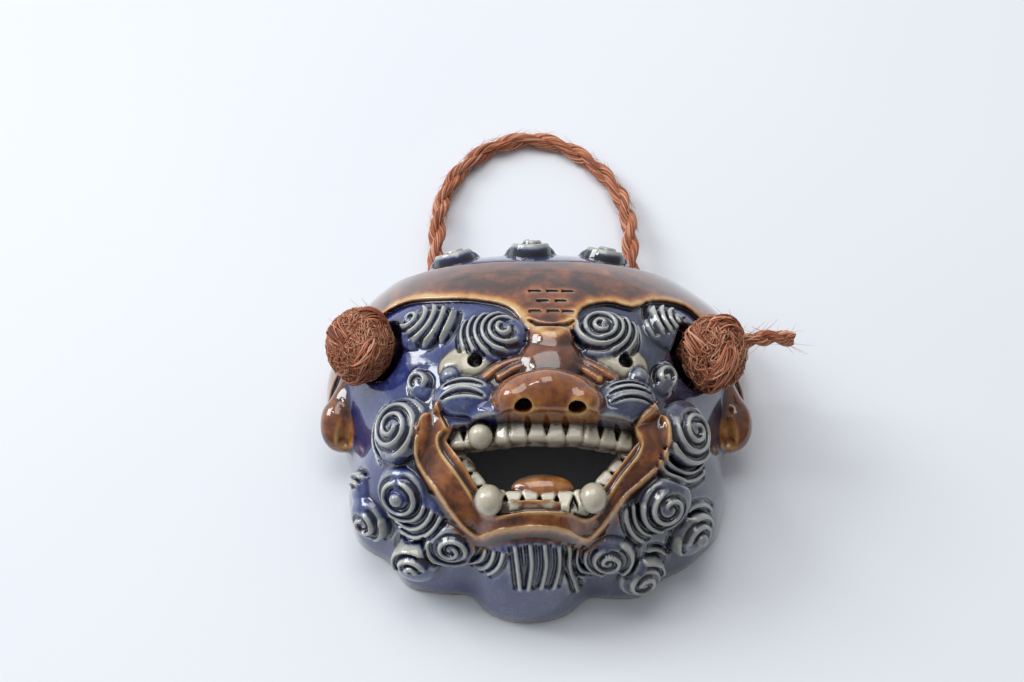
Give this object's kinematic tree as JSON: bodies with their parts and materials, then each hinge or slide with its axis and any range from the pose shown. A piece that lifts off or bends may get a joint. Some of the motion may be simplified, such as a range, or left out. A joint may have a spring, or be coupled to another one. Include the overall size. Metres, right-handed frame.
{
  "type": "lion dog mask",
  "caption": "Glazed ceramic lion dog wall mask with open mouth, curled mane and forehead cap, hung by a knotted palm-fibre rope loop.",
  "frame": {"origin": "on the surface that the back rim lies on, under the middle of the mask's own box", "axes": "+Z out of the face, +X from ear to ear (to the viewer's right), +Y from the beard to the rope loop"},
  "size_m": [0.1723, 0.2131, 0.0747],
  "materials": {
    "glaze": "glossy cobalt blue, honey-brown and ivory glazes over carved stoneware",
    "palm_rope": "rough twisted palm fibre"
  },
  "bodies": {
    "root": {"mask": "glaze", "rope": "palm_rope", "knot_left": "palm_rope", "knot_right": "palm_rope"}
  },
  "joints": []
}
